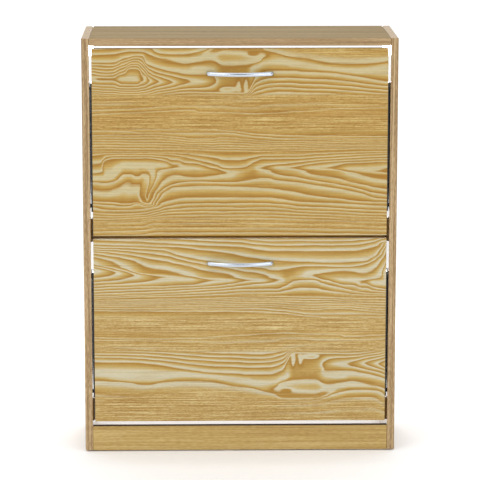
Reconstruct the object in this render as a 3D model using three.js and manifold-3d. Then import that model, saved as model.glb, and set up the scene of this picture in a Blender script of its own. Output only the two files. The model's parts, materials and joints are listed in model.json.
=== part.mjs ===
// A two-tier tip-out shoe cabinet in wood-print chipboard, closed, in millimetres.
// +Z is up and the doors face -Y. The origin is on the floor, at the middle of the whole
// cabinet's footprint, handles included.
import * as THREE from 'three';
import { mergeVertices } from 'three/addons/utils/BufferGeometryUtils.js';
import Module from 'manifold-3d';

const wasm = await Module();
wasm.setup();

// Driving dimensions
const WIDTH = 630;
const DEPTH = 240;
const HEIGHT = 845;
const BOARD = 15; // every chipboard panel
const THIN_BOARD = 4; // the boards inside a bucket
const TOUCH = 0.3; // left between pieces that touch
const ARRIS = 0.8; // chamfer along a panel's edges
const GLIDE_HEIGHT = 2;
const OPEN_ANGLE = 45; // degrees, how far a bucket tips

// Gaps round the doors
const SIDE_GAP = 5;
const TOP_GAP = 5;
const MIDDLE_GAP = 6;
const BOTTOM_GAP = 10;
const PLINTH_TOP = 53;

// Bow handle
const HANDLE_REACH = 25; // its foremost point in front of the door
const HANDLE_CENTRES = 128;
const HANDLE_DROP = 50; // below the door's top edge
const HANDLE_TALL = 8.7;
const HANDLE_THICK = 6;

// Places that follow
const FRONT = HANDLE_REACH / 2 - DEPTH / 2; // the doors' front plane
const INNER_HALF = WIDTH / 2 - BOARD; // from the middle to a side panel's inner face
const PANEL_BOTTOM = GLIDE_HEIGHT + TOUCH;
const DOOR_WIDTH = 2 * (INNER_HALF - SIDE_GAP);
const DOORS_BOTTOM = PLINTH_TOP + BOTTOM_GAP;
const DOORS_TOP = HEIGHT - BOARD - TOP_GAP;
const DOOR_HEIGHT = (DOORS_TOP - DOORS_BOTTOM - MIDDLE_GAP) / 2;
const TIER_STEP = DOOR_HEIGHT + MIDDLE_GAP;
const TIERS = [
  { name: 'lower', bottom: DOORS_BOTTOM },
  { name: 'upper', bottom: DOORS_BOTTOM + TIER_STEP },
];
const SIDES = [
  { name: 'left', sign: -1 },
  { name: 'right', sign: 1 },
];

// Bucket geometry, as [depth behind the door's face, height above the door's bottom edge]
const PIVOT = [25, 58];
const RIM_RADIUS = 249;
const SLOT_RADIUS = 236;
const SLOT_START = 87; // degrees above level, where the stop screw rests when closed
const STOP_SHANK = 3;
const SLOT_HALF = STOP_SHANK + 0.5;
const BRACKET_BACK = 214;
const BRACKET_FOOT = 47;
const BRACKET_HEEL = [32, 210, 104]; // the sloped foot runs from depth 32 to depth 210, height 104
const PLATE = 3;
const PLATE_OUTSIDE = INNER_HALF - 1.5;
const PLATE_INSIDE = PLATE_OUTSIDE - PLATE;
const RIB = 2.5;
const RIB_TALL = 8;
const LIP = 3;
const FLANGE_WIDE = 18.5;
const FLANGE_BACK = BOARD + TOUCH + PLATE;
const BOARD_SLOPE = 15.5; // degrees
const BOTTOM_START = [20, 73.3];
const BOTTOM_LONG = 181.5;
const DIVIDER_DEPTH = 105;
const DIVIDER_SPAN = [100, 250];
const BACK_DEPTH = 198;
const BACK_SPAN = [112, 185];

// Fasteners
const PIN_RADIUS = 4;
const PIN_BORE = 12; // how deep the pins go into a side panel
const BOSS_RADIUS = 9.5;
const HANDLE_SCREW = { shank: 1.8, length: 20.5, head: 4, tall: 2.4 };
const BRACKET_SCREW = { shank: 1.6, length: 12.5, head: 3.5, tall: 2.1 };
const WALL_SCREW = { shank: 1.6, length: 12, head: 3.5, tall: 2.1 };
const BRACKET_SCREW_HEIGHTS = [125, 275];
const CAM = { radius: 7.5, tall: 12.5, inset: 34 };

// Cross rails behind the doors, and where the glides and wall brackets are
const RAIL_DEPTH = 95;
const RAILS = [
  { name: 'lower_rail', low: 40, high: 88 },
  { name: 'middle_rail', low: 417, high: 466 },
];
const GLIDE_RADIUS = 7;
const GLIDE_DEPTHS = [30, 210];
const GLIDE_NAIL = { radius: 1, length: 12 };
const WALL_BRACKET = { wide: 20, deep: 40, tall: 26, thick: 2, out: 180 };
const WALL_HOLE = 2.8;

const FINISHES = {
  wood: { color: 0xc3a36e, roughness: 0.55, metalness: 0 },
  hardboard: { color: 0xa98451, roughness: 0.7, metalness: 0 },
  blackPlastic: { color: 0x111113, roughness: 0.3, metalness: 0 },
  whitePlastic: { color: 0xe4e2dc, roughness: 0.45, metalness: 0 },
  satinMetal: { color: 0xc9ccd0, roughness: 0.3, metalness: 1 },
  zinc: { color: 0xa7a9ab, roughness: 0.45, metalness: 1 },
};

// ---- Solids ----

function solid(geometry) {
  const bare = geometry.clone();
  bare.deleteAttribute('normal');
  bare.deleteAttribute('uv');
  const welded = mergeVertices(bare, 1e-4);
  const corners = welded.index.array;
  const kept = [];
  for (let i = 0; i < corners.length; i += 3) {
    const [a, b, c] = corners.slice(i, i + 3);
    if (a !== b && b !== c && c !== a) kept.push(a, b, c);
  }
  const vertProperties = new Float32Array(welded.attributes.position.array);
  const triVerts = new Uint32Array(kept);
  return new wasm.Manifold(new wasm.Mesh({ numProp: 3, vertProperties, triVerts }));
}

const join = (solids) => solids.reduce((whole, piece) => whole.add(piece));
const cut = (whole, tools) => tools.reduce((left, tool) => left.subtract(tool), whole);

function geometryOf(body) {
  const mesh = body.getMesh();
  const geometry = new THREE.BufferGeometry();
  geometry.setAttribute('position', new THREE.BufferAttribute(mesh.vertProperties, 3));
  geometry.setIndex(new THREE.BufferAttribute(mesh.triVerts, 1));
  geometry.computeVertexNormals();
  return geometry;
}

// Turns a geometry extruded along Z so that it is extruded along the given axis (0, 1, 2).
function turnTo(geometry, axis) {
  const axes = [0, 1, 2].map((index) => {
    const direction = new THREE.Vector3();
    return direction.setComponent((axis + 1 + index) % 3, 1);
  });
  return geometry.applyMatrix4(new THREE.Matrix4().makeBasis(...axes));
}

// A flat outline in the two axes after `axis`, extruded along it from `from` to `to`.
function plate(shape, axis, from, to, curveSegments = 6) {
  const [low, high] = [Math.min(from, to), Math.max(from, to)];
  const geometry = new THREE.ExtrudeGeometry(shape, {
    depth: high - low,
    bevelEnabled: false,
    curveSegments,
  });
  geometry.translate(0, 0, low);
  return solid(turnTo(geometry, axis));
}

function block(low, high) {
  const size = high.map((value, axis) => Math.abs(value - low[axis]));
  const geometry = new THREE.BoxGeometry(...size);
  geometry.translate(...high.map((value, axis) => (value + low[axis]) / 2));
  return solid(geometry);
}

// A chipboard panel between two corners, thin along its smallest side, with chamfered edges.
function panel(low, high, arris = ARRIS) {
  const size = high.map((value, axis) => value - low[axis]);
  const thin = size.indexOf(Math.min(...size));
  const [u, v] = [(thin + 1) % 3, (thin + 2) % 3];
  const shape = new THREE.Shape([
    new THREE.Vector2(low[u] + arris, low[v]),
    new THREE.Vector2(high[u] - arris, low[v]),
    new THREE.Vector2(high[u], low[v] + arris),
    new THREE.Vector2(high[u], high[v] - arris),
    new THREE.Vector2(high[u] - arris, high[v]),
    new THREE.Vector2(low[u] + arris, high[v]),
    new THREE.Vector2(low[u], high[v] - arris),
    new THREE.Vector2(low[u], low[v] + arris),
  ]);
  const geometry = new THREE.ExtrudeGeometry(shape, {
    depth: size[thin] - 2 * arris,
    bevelThickness: arris,
    bevelSize: arris,
    bevelOffset: -arris,
    bevelSegments: 1,
  });
  geometry.translate(0, 0, low[thin] + arris);
  return solid(turnTo(geometry, thin));
}

// A round bar along one axis, from `start` for `length` (either way).
function rod(radius, axis, start, length, sides = 16) {
  const geometry = new THREE.CylinderGeometry(radius, radius, Math.abs(length), sides);
  geometry.rotateX(Math.PI / 2);
  turnTo(geometry, axis);
  const middle = [...start];
  middle[axis] += length / 2;
  geometry.translate(...middle);
  return solid(geometry);
}

// A turned piece about its own Y axis, from [radius, height] pairs running upwards.
function turned(profile, sides = 16) {
  const points = profile.map(([radius, height]) => new THREE.Vector2(radius, height));
  return solid(new THREE.LatheGeometry(points, sides));
}

// A pan-head screw about its own Y axis, head upwards, the head's underside at 0.
function screw({ shank, length, head, tall }) {
  const body = turned([
    [0, -length],
    [shank, -length + 1.5 * shank],
    [shank, 0],
    [head, 0],
    [head, 0.45 * tall],
    [0.65 * head, 0.9 * tall],
    [0, tall],
  ], 10);
  const arm = 0.5 * head;
  const slit = 0.13 * head;
  const depth = 0.45 * tall;
  const recess = [[arm, slit], [slit, arm]].map(([x, z]) => (
    block([-x, depth, -z], [x, tall + 1, z])
  ));
  return cut(body, recess);
}

// ---- The scene graph ----

const cabinet = new THREE.Group();

function add(group, name, shape, finish, position = [0, 0, 0], rotation = [0, 0, 0]) {
  const geometry = shape.isBufferGeometry ? shape : geometryOf(shape);
  const mesh = new THREE.Mesh(geometry, new THREE.MeshStandardMaterial(FINISHES[finish]));
  mesh.name = name;
  mesh.position.set(...position);
  mesh.rotation.set(...rotation);
  group.add(mesh);
}

const FACE_DOWN = [-Math.PI / 2, 0, 0];
const faceInward = (sign) => [0, 0, sign * Math.PI / 2];

// ---- Carcass: depths are measured back from the doors' front plane ----

const carcass = new THREE.Group();
carcass.position.set(0, FRONT, 0);
cabinet.add(carcass);

const degrees = (angle) => angle * Math.PI / 180;

function onArc(radius, angle) {
  return [
    PIVOT[0] + radius * Math.cos(degrees(angle)),
    PIVOT[1] + radius * Math.sin(degrees(angle)),
  ];
}

const STOP = onArc(SLOT_RADIUS, SLOT_START);

function sidePanel(sign) {
  const inner = sign * INNER_HALF;
  const outer = sign * WIDTH / 2;
  const low = [Math.min(inner, outer), 0, PANEL_BOTTOM];
  const high = [Math.max(inner, outer), DEPTH, HEIGHT];
  const bores = [];
  for (const { bottom } of TIERS) {
    const pivotBore = [inner, PIVOT[0], bottom + PIVOT[1]];
    const stopBore = [inner, STOP[0], bottom + STOP[1]];
    bores.push(rod(PIN_RADIUS + TOUCH, 0, pivotBore, sign * PIN_BORE));
    bores.push(rod(STOP_SHANK - 0.5 + TOUCH, 0, stopBore, sign * PIN_BORE));
  }
  for (const depth of GLIDE_DEPTHS) {
    const start = [(inner + outer) / 2, depth, PANEL_BOTTOM];
    bores.push(rod(GLIDE_NAIL.radius + TOUCH, 2, start, GLIDE_NAIL.length, 12));
  }
  return cut(panel(low, high), bores);
}

for (const { name, sign } of SIDES) {
  add(carcass, `${name}_side_panel`, sidePanel(sign), 'wood');
}

const SPAN = INNER_HALF - TOUCH; // half the length of a board between the side panels
const CAM_OUT = INNER_HALF - CAM.inset;
const camSeat = (axis, start, way) => (
  rod(CAM.radius + TOUCH, axis, start, way * (CAM.tall + TOUCH), 16)
);

// A round cam lock about its own Y axis, its slotted face at 0.
function camLock() {
  const disc = turned([
    [0, -CAM.tall],
    [CAM.radius, -CAM.tall],
    [CAM.radius, -0.4],
    [CAM.radius - 0.4, 0],
    [0, 0],
  ]);
  const recess = [[4.4, 0.7], [0.7, 4.4]].map(([x, z]) => block([-x, -2.2, -z], [x, 1, z]));
  return cut(disc, recess);
}

// The top panel, with cams and wall-bracket screws let in from below
const TOP_UNDERSIDE = HEIGHT - BOARD;
const WALL_SCREW_DEPTH = DEPTH - 28;
const TOP_CAM_DEPTHS = [50, 175];
const topCuts = [];
for (const { sign } of SIDES) {
  for (const depth of TOP_CAM_DEPTHS) {
    topCuts.push(camSeat(2, [sign * CAM_OUT, depth, TOP_UNDERSIDE], 1));
  }
  const screwHole = [sign * WALL_BRACKET.out, WALL_SCREW_DEPTH, TOP_UNDERSIDE];
  topCuts.push(rod(WALL_SCREW.shank + TOUCH, 2, screwHole, 11, 12));
}
const topPanel = panel([-SPAN, 0, TOP_UNDERSIDE], [SPAN, DEPTH, HEIGHT]);
add(carcass, 'top_panel', cut(topPanel, topCuts), 'wood');

// The plinth and the cross rails, each with a cam at either end, let in from behind
const CROSS_BOARDS = [
  { name: 'plinth', depth: 0, low: PANEL_BOTTOM, high: PLINTH_TOP },
  ...RAILS.map((rail) => ({ ...rail, depth: RAIL_DEPTH })),
];
for (const { name, depth, low, high } of CROSS_BOARDS) {
  const back = depth + BOARD;
  const middle = (low + high) / 2;
  const seats = SIDES.map(({ sign }) => camSeat(1, [sign * CAM_OUT, back, middle], -1));
  add(carcass, name, cut(panel([-SPAN, depth, low], [SPAN, back, high]), seats), 'wood');
  for (const side of SIDES) {
    const place = [side.sign * CAM_OUT, back, middle];
    add(carcass, `${name}_cam_${side.name}`, camLock(), 'zinc', place);
  }
}
for (const { name, sign } of SIDES) {
  TOP_CAM_DEPTHS.forEach((depth, index) => {
    const place = [sign * CAM_OUT, depth, TOP_UNDERSIDE];
    const label = `top_cam_${['front', 'rear'][index]}_${name}`;
    add(carcass, label, camLock(), 'zinc', place, FACE_DOWN);
  });
}

// Nail-in glides under the side panels
const glide = () => turned([
  [0, -GLIDE_NAIL.length + TOUCH],
  [GLIDE_NAIL.radius, -GLIDE_NAIL.length + 2],
  [GLIDE_NAIL.radius, 0],
  [GLIDE_RADIUS, 0],
  [GLIDE_RADIUS, 0.6 * GLIDE_HEIGHT],
  [GLIDE_RADIUS - 1, GLIDE_HEIGHT],
  [0, GLIDE_HEIGHT],
], 14);
for (const { name, sign } of SIDES) {
  GLIDE_DEPTHS.forEach((depth, index) => {
    const place = [sign * (WIDTH - BOARD) / 2, depth, GLIDE_HEIGHT];
    const label = `glide_${['front', 'rear'][index]}_${name}`;
    add(carcass, label, glide(), 'whitePlastic', place, FACE_DOWN);
  });
}

// Steel angles under the top panel's rear edge, for fixing the cabinet to a wall
function wallBracket() {
  const { wide, deep, tall, thick } = WALL_BRACKET;
  const top = -TOUCH;
  const angle = join([
    block([-wide / 2, DEPTH - deep, top - thick], [wide / 2, DEPTH, top]),
    block([-wide / 2, DEPTH - thick, top - tall], [wide / 2, DEPTH, top]),
  ]);
  return cut(angle, [
    rod(WALL_SCREW.shank + TOUCH, 2, [0, WALL_SCREW_DEPTH, top + 1], -2 * thick, 12),
    rod(WALL_HOLE, 1, [0, DEPTH + 1, top - 0.6 * tall], -2 * thick, 16),
  ]);
}
for (const { name, sign } of SIDES) {
  const place = [sign * WALL_BRACKET.out, 0, TOP_UNDERSIDE];
  const screwHead = TOP_UNDERSIDE - 2 * TOUCH - WALL_BRACKET.thick;
  const screwPlace = [sign * WALL_BRACKET.out, WALL_SCREW_DEPTH, screwHead];
  add(carcass, `wall_bracket_${name}`, wallBracket(), 'zinc', place);
  add(carcass, `wall_bracket_screw_${name}`, screw(WALL_SCREW), 'zinc', screwPlace, FACE_DOWN);
}

// Pins about their own Y axis, the end towards the middle of the cabinet upwards, with the
// side panel's inner face at 0
const PLATE_AIR = INNER_HALF - PLATE_OUTSIDE;
const BOSS_INSIDE = PLATE_INSIDE - RIB_TALL;
const pivotPin = () => turned([
  [0, -PIN_BORE + TOUCH],
  [PIN_RADIUS, -PIN_BORE + TOUCH],
  [PIN_RADIUS, TOUCH],
  [PIN_RADIUS + 3.5, TOUCH],
  [PIN_RADIUS + 3.5, PLATE_AIR - TOUCH],
  [PIN_RADIUS, PLATE_AIR - TOUCH],
  [PIN_RADIUS, INNER_HALF - BOSS_INSIDE + 0.5],
  [PIN_RADIUS - 1, INNER_HALF - BOSS_INSIDE + 1.5],
  [0, INNER_HALF - BOSS_INSIDE + 1.5],
], 16);

function stopScrew() {
  const underHead = INNER_HALF - PLATE_INSIDE + TOUCH;
  const head = STOP_SHANK + 2.5;
  const body = turned([
    [0, -PIN_BORE + TOUCH],
    [STOP_SHANK - 0.5, -PIN_BORE + 1.5],
    [STOP_SHANK - 0.5, TOUCH],
    [STOP_SHANK, TOUCH],
    [STOP_SHANK, underHead],
    [head, underHead],
    [head, underHead + 1.6],
    [head - 1, underHead + 2.4],
    [0, underHead + 2.4],
  ], 14);
  const recess = [[2.6, 0.6], [0.6, 2.6]].map(([x, z]) => (
    block([-x, underHead + 1.2, -z], [x, underHead + 3, z])
  ));
  return cut(body, recess);
}

for (const tier of TIERS) {
  for (const { name, sign } of SIDES) {
    const turn = faceInward(sign);
    const pivotPlace = [sign * INNER_HALF, PIVOT[0], tier.bottom + PIVOT[1]];
    const stopPlace = [sign * INNER_HALF, STOP[0], tier.bottom + STOP[1]];
    add(carcass, `${tier.name}_pivot_pin_${name}`, pivotPin(), 'zinc', pivotPlace, turn);
    add(carcass, `${tier.name}_stop_screw_${name}`, stopScrew(), 'zinc', stopPlace, turn);
  }
}

// ---- Tip-out buckets: heights are measured up from the door's bottom edge ----

const HANDLE_HEIGHT = DOOR_HEIGHT - HANDLE_DROP;
const BRACKET_SCREW_OUT = PLATE_INSIDE - 0.55 * FLANGE_WIDE;

function door() {
  const half = DOOR_WIDTH / 2;
  const holes = [];
  for (const { sign } of SIDES) {
    const handleHole = [sign * HANDLE_CENTRES / 2, -1, HANDLE_HEIGHT];
    holes.push(rod(HANDLE_SCREW.shank + TOUCH, 1, handleHole, BOARD + 2, 12));
    for (const height of BRACKET_SCREW_HEIGHTS) {
      const start = [sign * BRACKET_SCREW_OUT, BOARD + 1, height];
      holes.push(rod(BRACKET_SCREW.shank + TOUCH, 1, start, -11, 12));
    }
  }
  return cut(panel([-half, 0, 0], [half, BOARD, DOOR_HEIGHT]), holes);
}

// A bar of oval section bent into a shallow bow, its feet square to the door
function bowHandle() {
  const end = HANDLE_CENTRES / 2;
  const peak = HANDLE_REACH - HANDLE_THICK / 2;
  const half = [
    [end, TOUCH],
    [end, 0.2 * peak],
    [0.965 * end, 0.4 * peak],
    [0.86 * end, 0.62 * peak],
    [0.62 * end, 0.81 * peak],
    [0.3 * end, 0.955 * peak],
  ];
  const bow = [...half.map(([x, y]) => [-x, y]), [0, peak], ...half.reverse()];
  const path = new THREE.CatmullRomCurve3(
    bow.map(([x, y]) => new THREE.Vector3(x, -y, 0)),
    false,
    'centripetal',
  );
  const section = new THREE.Shape();
  section.absellipse(0, 0, HANDLE_TALL / 2, HANDLE_THICK / 2, 0, 2 * Math.PI);
  const geometry = new THREE.ExtrudeGeometry(section, {
    steps: 26,
    curveSegments: 6,
    extrudePath: path,
  });
  const screwHoles = SIDES.map(({ sign }) => (
    rod(HANDLE_SCREW.shank + TOUCH, 1, [sign * end, 1, 0], -7, 12)
  ));
  return cut(solid(geometry), screwHoles);
}

// The bracket's outline, drawn in by `inset` all round: [depth, height] as [x, y].
function bracketOutline(inset) {
  const front = BOARD + TOUCH + inset;
  const back = BRACKET_BACK - inset;
  const foot = BRACKET_FOOT + inset;
  const [heelStart, heelEnd, heelHeight] = BRACKET_HEEL;
  const rim = RIM_RADIUS - inset;
  const rimEnd = Math.acos((front - PIVOT[0]) / rim);
  const rimStart = Math.acos((back - PIVOT[0]) / rim);
  const shape = new THREE.Shape();
  shape.moveTo(front, foot);
  shape.lineTo(heelStart, foot);
  shape.lineTo(Math.min(heelEnd, back - 1), heelHeight + inset);
  shape.lineTo(back, heelHeight + 4 + inset);
  shape.lineTo(back, PIVOT[1] + rim * Math.sin(rimStart));
  shape.absarc(...PIVOT, rim, rimStart, rimEnd);
  shape.closePath();
  return shape;
}

// The arc slot that the stop screw runs in, as a hole of a Shape
function stopSlot() {
  const low = SLOT_START - OPEN_ANGLE;
  const slot = new THREE.Path();
  slot.absarc(...PIVOT, SLOT_RADIUS + SLOT_HALF, degrees(low), degrees(SLOT_START));
  slot.absarc(...STOP, SLOT_HALF, degrees(SLOT_START), degrees(SLOT_START + 180));
  slot.absarc(...PIVOT, SLOT_RADIUS - SLOT_HALF, degrees(SLOT_START), degrees(low), true);
  slot.absarc(...onArc(SLOT_RADIUS, low), SLOT_HALF, degrees(low - 180), degrees(low));
  return slot;
}

// A straight rib on the plate's inside, its middle line between two [depth, height] points
function rib(sign, start, end) {
  const from = new THREE.Vector2(...start);
  const to = new THREE.Vector2(...end);
  const across = to.clone().sub(from).normalize().rotateAround(new THREE.Vector2(), Math.PI / 2);
  across.multiplyScalar(RIB / 2);
  const corners = [
    from.clone().sub(across),
    to.clone().sub(across),
    to.clone().add(across),
    from.clone().add(across),
  ];
  return plate(new THREE.Shape(corners), 0, sign * BOSS_INSIDE, sign * (PLATE_INSIDE + 0.2));
}

const RIB_OFF = THIN_BOARD / 2 + TOUCH + RIB / 2; // from a board's middle to its rib's

// A point `along` the sloped bottom board and `off` above its middle
function onBottomBoard(along, off) {
  const slope = degrees(BOARD_SLOPE);
  return [
    BOTTOM_START[0] + along * Math.cos(slope) - off * Math.sin(slope),
    BOTTOM_START[1] + along * Math.sin(slope) + off * Math.cos(slope),
  ];
}

function bracket(sign) {
  const outline = bracketOutline(0);
  outline.holes.push(stopSlot());
  const lip = bracketOutline(0);
  lip.holes.push(bracketOutline(LIP));
  const root = sign * (PLATE_INSIDE + 0.2); // features reach a little into the plate
  const flangeTop = RIM_RADIUS + PIVOT[1] - 7;
  const parts = [
    plate(outline, 0, sign * PLATE_INSIDE, sign * PLATE_OUTSIDE),
    plate(lip, 0, sign * BOSS_INSIDE, root),
    block(
      [sign * (PLATE_INSIDE - FLANGE_WIDE), BOARD + TOUCH, BRACKET_FOOT + 13],
      [root, FLANGE_BACK, flangeTop],
    ),
    rod(BOSS_RADIUS, 0, [sign * BOSS_INSIDE, ...PIVOT], root - sign * BOSS_INSIDE, 20),
    rib(sign, onBottomBoard(1, -RIB_OFF), onBottomBoard(177, -RIB_OFF)),
    rib(sign, onBottomBoard(3, RIB_OFF), onBottomBoard(80, RIB_OFF)),
    rib(sign, onBottomBoard(95, RIB_OFF), onBottomBoard(172, RIB_OFF)),
    rib(sign, [BACK_DEPTH - RIB_OFF, BACK_SPAN[0] + 18], [BACK_DEPTH - RIB_OFF, BACK_SPAN[1]]),
    rib(sign, [BACK_DEPTH + RIB_OFF, BACK_SPAN[0]], [BACK_DEPTH + RIB_OFF, BACK_SPAN[1]]),
  ];
  for (const off of [-RIB_OFF, RIB_OFF]) {
    const depth = DIVIDER_DEPTH + off;
    parts.push(rib(sign, [depth, DIVIDER_SPAN[0] + 5], [depth, DIVIDER_SPAN[1]]));
  }
  for (const height of [100, 180, 240]) {
    const gusset = new THREE.Shape([
      new THREE.Vector2(sign * (PLATE_INSIDE - 12), FLANGE_BACK - 0.2),
      new THREE.Vector2(root, FLANGE_BACK - 0.2),
      new THREE.Vector2(root, FLANGE_BACK + 12),
    ]);
    parts.push(plate(gusset, 2, height, height + RIB));
  }
  const bores = [rod(PIN_RADIUS + 0.4, 0, [sign * (BOSS_INSIDE - 5), ...PIVOT], sign * 20, 20)];
  for (const height of BRACKET_SCREW_HEIGHTS) {
    const start = [sign * BRACKET_SCREW_OUT, BOARD, height];
    bores.push(rod(BRACKET_SCREW.shank + TOUCH, 1, start, 2 * PLATE, 12));
  }
  return cut(join(parts), bores);
}

const THIN_HALF = PLATE_INSIDE - 0.4; // half the length of a board between the brackets
const thinBoard = (low, high) => panel([-THIN_HALF, ...low], [THIN_HALF, ...high], 0.4);

for (const tier of TIERS) {
  const bucket = new THREE.Group();
  bucket.position.set(0, FRONT, tier.bottom);
  cabinet.add(bucket);
  add(bucket, `${tier.name}_door`, door(), 'wood');
  add(bucket, `${tier.name}_handle`, bowHandle(), 'satinMetal', [0, 0, HANDLE_HEIGHT]);

  const half = THIN_BOARD / 2;
  const bottomBoard = thinBoard([0, -half], [BOTTOM_LONG, half]);
  const slope = [degrees(BOARD_SLOPE), 0, 0];
  add(bucket, `${tier.name}_bottom_board`, bottomBoard, 'hardboard', [0, ...BOTTOM_START], slope);
  const uprights = [
    ['divider', DIVIDER_DEPTH, DIVIDER_SPAN],
    ['back_board', BACK_DEPTH, BACK_SPAN],
  ];
  for (const [name, depth, [low, high]] of uprights) {
    const upright = thinBoard([depth - half, low], [depth + half, high]);
    add(bucket, `${tier.name}_${name}`, upright, 'hardboard');
  }

  for (const { name, sign } of SIDES) {
    add(bucket, `${tier.name}_bracket_${name}`, bracket(sign), 'blackPlastic');
    const handleScrewPlace = [sign * HANDLE_CENTRES / 2, BOARD + TOUCH, HANDLE_HEIGHT];
    add(bucket, `${tier.name}_handle_screw_${name}`, screw(HANDLE_SCREW), 'zinc', handleScrewPlace);
    BRACKET_SCREW_HEIGHTS.forEach((height, index) => {
      const place = [sign * BRACKET_SCREW_OUT, FLANGE_BACK + TOUCH, height];
      const label = `${tier.name}_bracket_screw_${['low', 'high'][index]}_${name}`;
      add(bucket, label, screw(BRACKET_SCREW), 'zinc', place);
    });
  }
}

export default cabinet;
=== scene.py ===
"""A two-tier tip-out shoe cabinet with a printed ash figure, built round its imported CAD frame.

Everything is in metres, with +Z up and the doors facing -Y. Boards, wall brackets and moulded
brackets are rounded copies of their CAD solids. Handles, screws, cams, pins and glides are new
meshes.
"""
import json
import math

import bmesh
import bpy
from mathutils import Matrix, Vector


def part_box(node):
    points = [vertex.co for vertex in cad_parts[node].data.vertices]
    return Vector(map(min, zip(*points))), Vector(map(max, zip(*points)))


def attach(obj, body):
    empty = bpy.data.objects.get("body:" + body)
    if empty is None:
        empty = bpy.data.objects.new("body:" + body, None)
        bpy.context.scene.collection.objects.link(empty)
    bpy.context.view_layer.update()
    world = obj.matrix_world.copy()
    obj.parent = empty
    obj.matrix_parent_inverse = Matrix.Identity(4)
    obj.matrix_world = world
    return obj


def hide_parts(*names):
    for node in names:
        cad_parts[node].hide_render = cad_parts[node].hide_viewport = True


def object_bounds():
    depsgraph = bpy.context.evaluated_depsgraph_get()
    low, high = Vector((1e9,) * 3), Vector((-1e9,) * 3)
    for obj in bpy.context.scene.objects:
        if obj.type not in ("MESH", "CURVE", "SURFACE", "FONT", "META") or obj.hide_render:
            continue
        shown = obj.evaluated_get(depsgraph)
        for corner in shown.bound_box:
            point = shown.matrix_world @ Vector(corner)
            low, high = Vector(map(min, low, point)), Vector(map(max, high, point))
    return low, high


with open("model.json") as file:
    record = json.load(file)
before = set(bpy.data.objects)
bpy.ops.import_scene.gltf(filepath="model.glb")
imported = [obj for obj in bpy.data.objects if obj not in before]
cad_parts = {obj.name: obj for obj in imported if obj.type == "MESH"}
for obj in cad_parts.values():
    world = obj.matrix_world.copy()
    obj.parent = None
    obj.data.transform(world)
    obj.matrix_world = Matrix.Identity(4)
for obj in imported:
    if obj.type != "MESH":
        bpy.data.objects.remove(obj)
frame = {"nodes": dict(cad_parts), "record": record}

cad_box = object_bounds()
MM = 0.001
NODES = frame["nodes"]
BODY_OF = {n: body for body, ns in frame["record"]["behaviour"]["bodies"].items() for n in ns}
SLOT_OF = {s["node"]: s["material_slot"] for s in frame["record"]["subparts"]}
TIERS = ("lower", "upper")
SIDES = {"left": -1, "right": 1}
FACING = 0.9        # the least part of a face's normal along an axis that it is said to face


# ---- Node trees ----


class Graph:
    """Adds linked nodes to one material's or node group's tree."""

    def __init__(self, tree):
        self.tree = tree

    def feed(self, socket, value):
        if isinstance(value, bpy.types.NodeSocket):
            self.tree.links.new(value, socket)
        else:
            socket.default_value = value

    def node(self, kind, inputs=None, **settings):
        made = self.tree.nodes.new(kind)
        for key, value in settings.items():
            setattr(made, key, value)
        for key, value in (inputs or {}).items():
            self.feed(made.inputs[key], value)
        return made

    def math(self, operation, *values):
        made = self.node("ShaderNodeMath", operation=operation)
        for socket, value in zip(made.inputs, values):
            self.feed(socket, value)
        return made.outputs[0]

    def vector(self, operation, *values):
        made = self.node("ShaderNodeVectorMath", operation=operation)
        for socket, value in zip(made.inputs, values):
            self.feed(socket, value)
        return made.outputs["Value" if operation in ("DOT_PRODUCT", "LENGTH") else "Vector"]

    def mix(self, share, first, second, blend="MIX"):
        made = self.node("ShaderNodeMix", data_type="RGBA", blend_type=blend)
        for key, value in (("Factor_Float", share), ("A_Color", first), ("B_Color", second)):
            socket = next(s for s in made.inputs if s.identifier == key)
            self.feed(socket, value)
        return next(s for s in made.outputs if s.identifier == "Result_Color")

    def ramp(self, value, stops):
        """A colour ramp, from (place, sRGB colour) pairs."""
        made = self.node("ShaderNodeValToRGB", {"Fac": value})
        elements = made.color_ramp.elements
        while len(elements) < len(stops):
            elements.new(0.5)
        for element, (place, colour) in zip(elements, stops):
            element.position = place
            element.color = linear(*colour)
        return made.outputs["Color"]

    def curve(self, value, points):
        """A smooth curve through (input, output) points, read at value and held past its ends."""
        start, end = points[0][0], points[-1][0]
        low = min(level for _, level in points)
        high = max(level for _, level in points)
        if low == high:
            return low
        share = self.span(value, start, end)
        made = self.node("ShaderNodeFloatCurve", {"Value": share})
        curve = made.mapping.curves[0]
        while len(curve.points) < len(points):
            curve.points.new(0.5, 0.5)
        for point, (place, level) in zip(curve.points, points):
            point.location = ((place - start) / (end - start), (level - low) / (high - low))
            point.handle_type = "AUTO_CLAMPED"
        made.mapping.update()
        return self.span(made.outputs[0], 0, 1, low, high)

    def span(self, value, low, high, to_low=0.0, to_high=1.0):
        """Takes low..high to to_low..to_high, and holds at both ends."""
        values = {"Value": value, 1: low, 2: high, 3: to_low, 4: to_high}
        return self.node("ShaderNodeMapRange", values).outputs[0]

    def noise(self, place, scale, detail=2.0, roughness=0.5):
        values = {"Vector": place, "Scale": scale, "Detail": detail, "Roughness": roughness}
        return self.node("ShaderNodeTexNoise", values).outputs["Fac"]

    def sway(self, place, size, reach):
        """Noise between about -reach / 2 and reach / 2, with features of the given size."""
        cell = self.vector("DIVIDE", place, size)
        return self.math("MULTIPLY", self.math("SUBTRACT", self.noise(cell, 1.0, 1.0), 0.5), reach)

    def bump(self, height, distance, strength=1.0):
        values = {"Height": height, "Distance": distance, "Strength": strength}
        return self.node("ShaderNodeBump", values).outputs["Normal"]


def linear(red, green, blue):
    """A node colour from the 0 to 255 values that a screen shows."""
    def channel(value):
        share = value / 255
        return share / 12.92 if share <= 0.04045 else ((share + 0.055) / 1.055) ** 2.4
    return (channel(red), channel(green), channel(blue), 1.0)


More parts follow.
